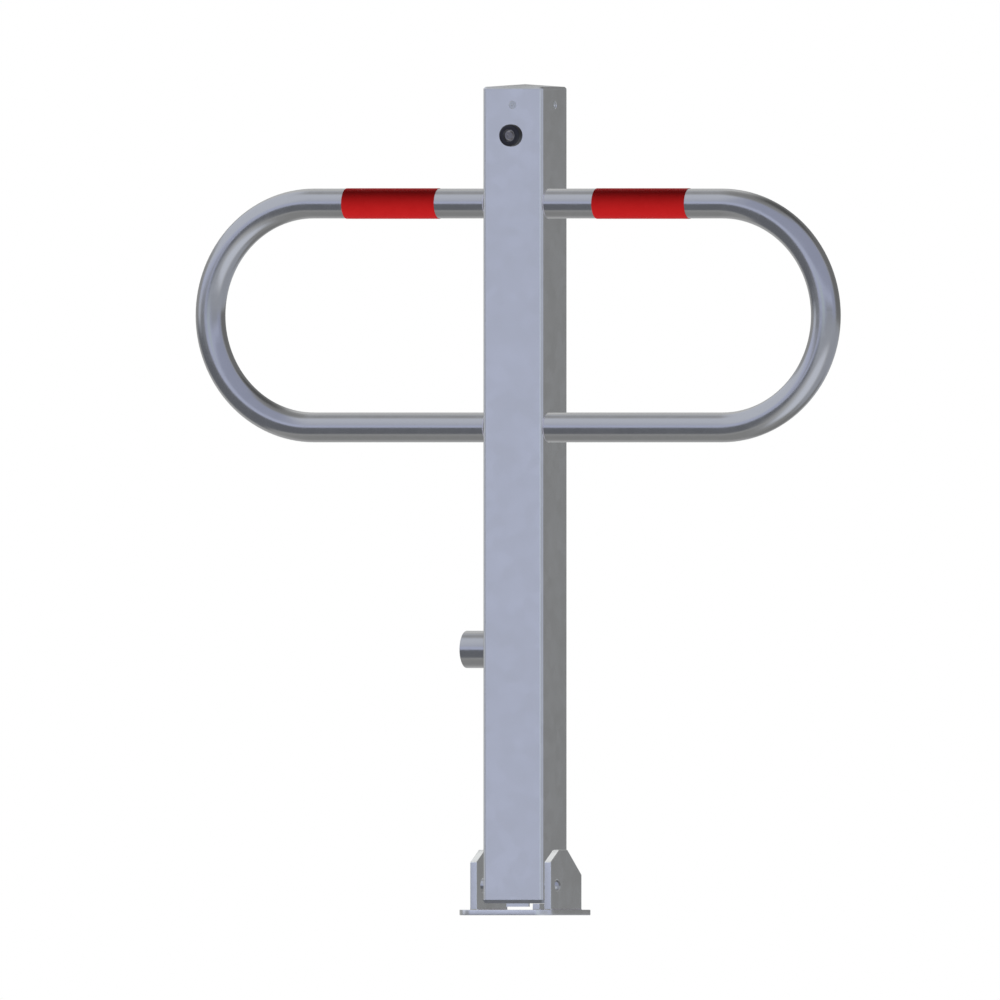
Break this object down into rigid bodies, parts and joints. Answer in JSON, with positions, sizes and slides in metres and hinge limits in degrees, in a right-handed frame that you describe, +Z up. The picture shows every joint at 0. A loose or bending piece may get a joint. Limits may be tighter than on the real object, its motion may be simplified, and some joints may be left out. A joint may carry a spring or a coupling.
{
  "type": "fold-down bollard",
  "caption": "Square steel post with a round tube hoop, hinged on a base plate so that it folds flat, held upright by a key-turned drop rod.",
  "frame": {"origin": "centre of the base plate's underside, on the floor, with the post's axis above it", "axes": "+Z up, +X along the hinge pin towards the right cheek, -Y towards the front that the post folds to"},
  "size_m": [0.746, 0.13, 0.891],
  "materials": {
    "galvanised_steel": "smooth zinc-coated plate and tube, dull sheen",
    "hoop_tube": "zinc-coated round tube, brighter sheen",
    "turned_steel": "turned, plain",
    "zinc_fasteners": "bright zinc-plated",
    "spring_steel": "drawn wire",
    "brass": "turned",
    "red_film": "smooth red film sleeve",
    "black_rubber": "moulded, satin"
  },
  "bodies": {
    "base": {"base_plate": "galvanised_steel", "cheek_left": "galvanised_steel", "cheek_right": "galvanised_steel", "stop_lug": "galvanised_steel", "hinge_pin": "turned_steel"},
    "post": {"post_tube": "galvanised_steel", "foot_plate": "galvanised_steel", "hinge_sleeve": "turned_steel", "top_cap": "galvanised_steel", "cap_screws": "zinc_fasteners", "hoop_left": "hoop_tube", "hoop_right": "hoop_tube", "red_band_left": "red_film", "red_band_right": "red_film", "buffer": "black_rubber", "buffer_washer": "zinc_fasteners", "buffer_screw": "zinc_fasteners", "buffer_nut": "zinc_fasteners", "lock_housing": "hoop_tube", "lock_bush": "brass", "lock_nut": "zinc_fasteners", "rod_guide_lower": "galvanised_steel", "rod_guide_upper": "galvanised_steel", "rod_spring": "spring_steel"},
    "key": {"lock_core": "turned_steel", "lock_cam": "galvanised_steel", "cam_nut": "zinc_fasteners"},
    "rod": {"lock_rod": "turned_steel", "lift_pin": "turned_steel", "rod_collar": "turned_steel", "collar_pin": "turned_steel"}
  },
  "joints": [
    {"name": "fold_down", "type": "hinge", "parent": "base", "child": "post", "pos_m": [0, -0.0235, 0.032], "axis": [1, 0, 0], "range_deg": [0, 90]},
    {"name": "key_turn", "type": "hinge", "parent": "post", "child": "key", "pos_m": [-0.04, 0, 0.285], "axis": [1, 0, 0], "range_deg": [0, 180]},
    {"name": "rod_drop", "type": "slide", "parent": "post", "child": "rod", "axis": [0, 0, -1], "range_m": [0, 0.013], "deforming": ["rod_spring"]}
  ],
  "couplings": [
    {"joint": "key_turn", "follows": "rod_drop", "rad_per_m": 241.66}
  ]
}
